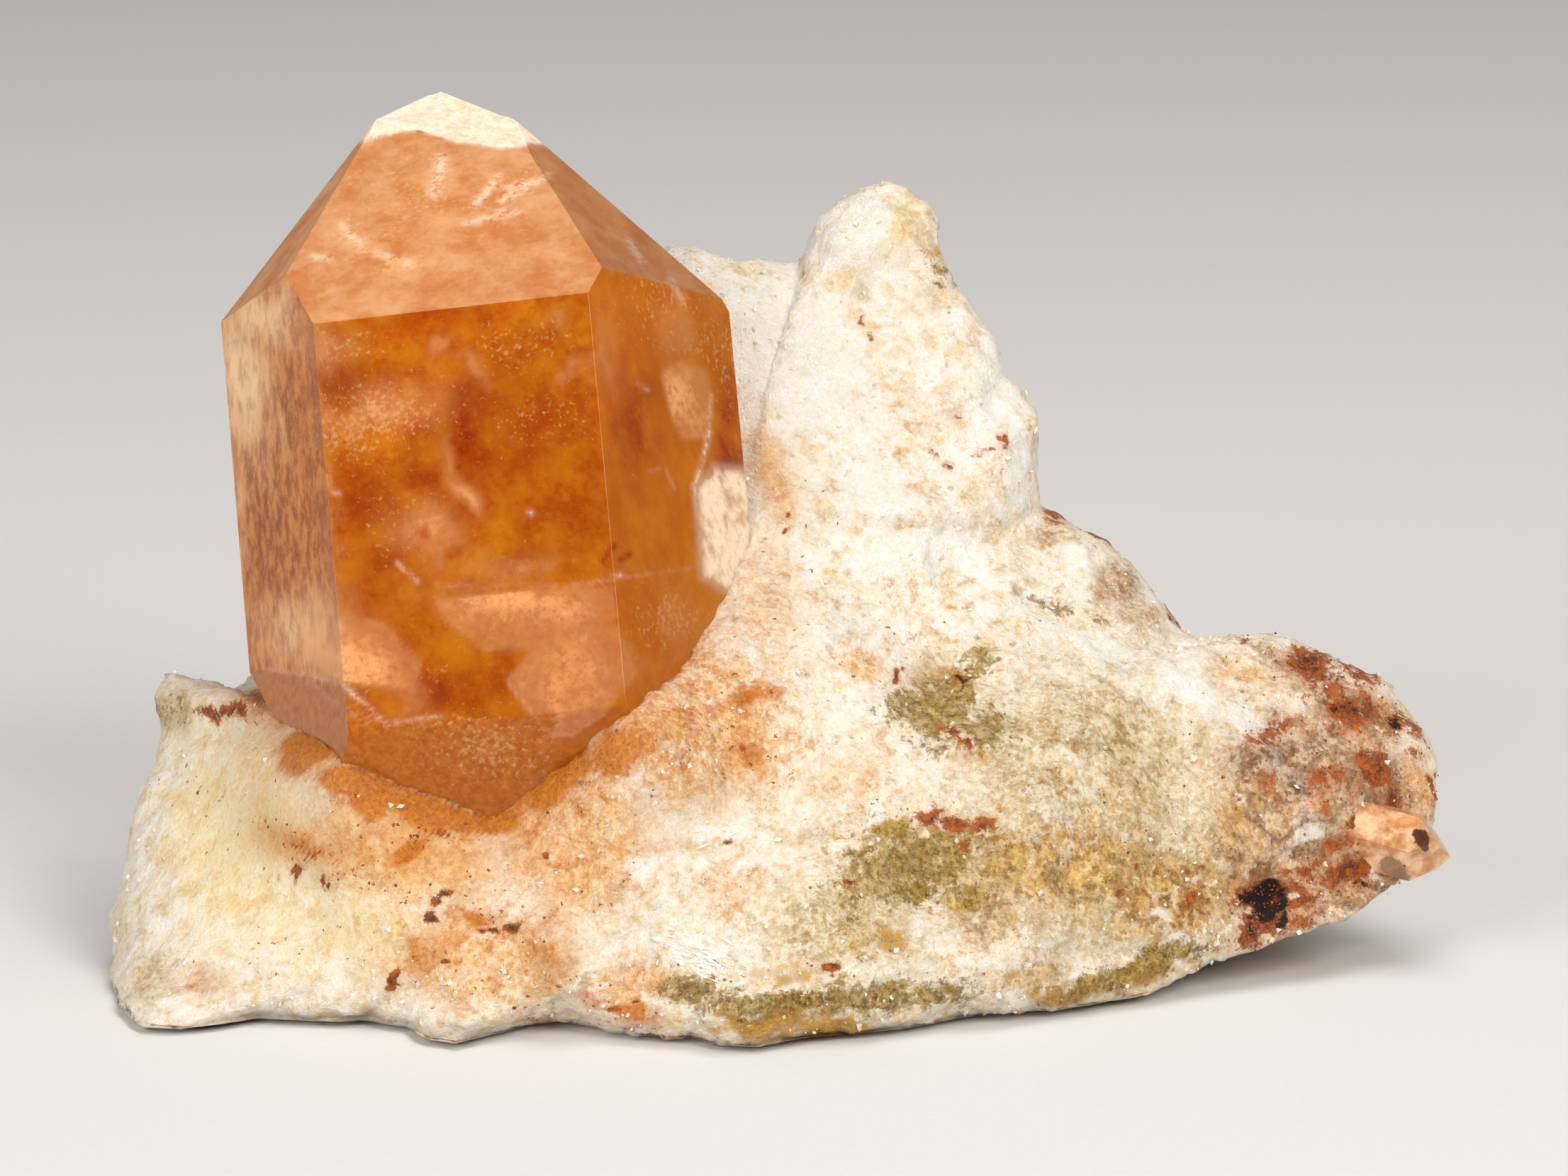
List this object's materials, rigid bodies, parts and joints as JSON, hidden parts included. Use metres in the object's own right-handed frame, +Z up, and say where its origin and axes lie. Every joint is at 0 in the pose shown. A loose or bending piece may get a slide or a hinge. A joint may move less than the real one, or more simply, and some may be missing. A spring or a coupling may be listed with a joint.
{
  "type": "hematoid quartz specimen",
  "caption": "Stout orange quartz crystal, pointed at both ends and stained by iron, grown in a pale rugged quartz rock with a smaller crystal at its tip.",
  "frame": {"origin": "on the flat underside, below the middle of the whole specimen's box", "axes": "+Z up from the resting face, +X along the rock towards the small crystal, -Y towards the large crystal's front face"},
  "size_m": [0.0752, 0.047, 0.0468],
  "materials": {
    "matrix": "granular white to cream quartz rock with sugary sparkle, rust, amber and olive stains",
    "quartz_crystal": "clear to hazy orange-brown quartz with glossy natural faces, milky veils inside and a pale chipped tip",
    "tip_crystal": "hazy peach quartz, glossy faces"
  },
  "bodies": {
    "root": {"matrix": "matrix", "quartz_crystal": "quartz_crystal", "tip_crystal": "tip_crystal"}
  },
  "joints": []
}
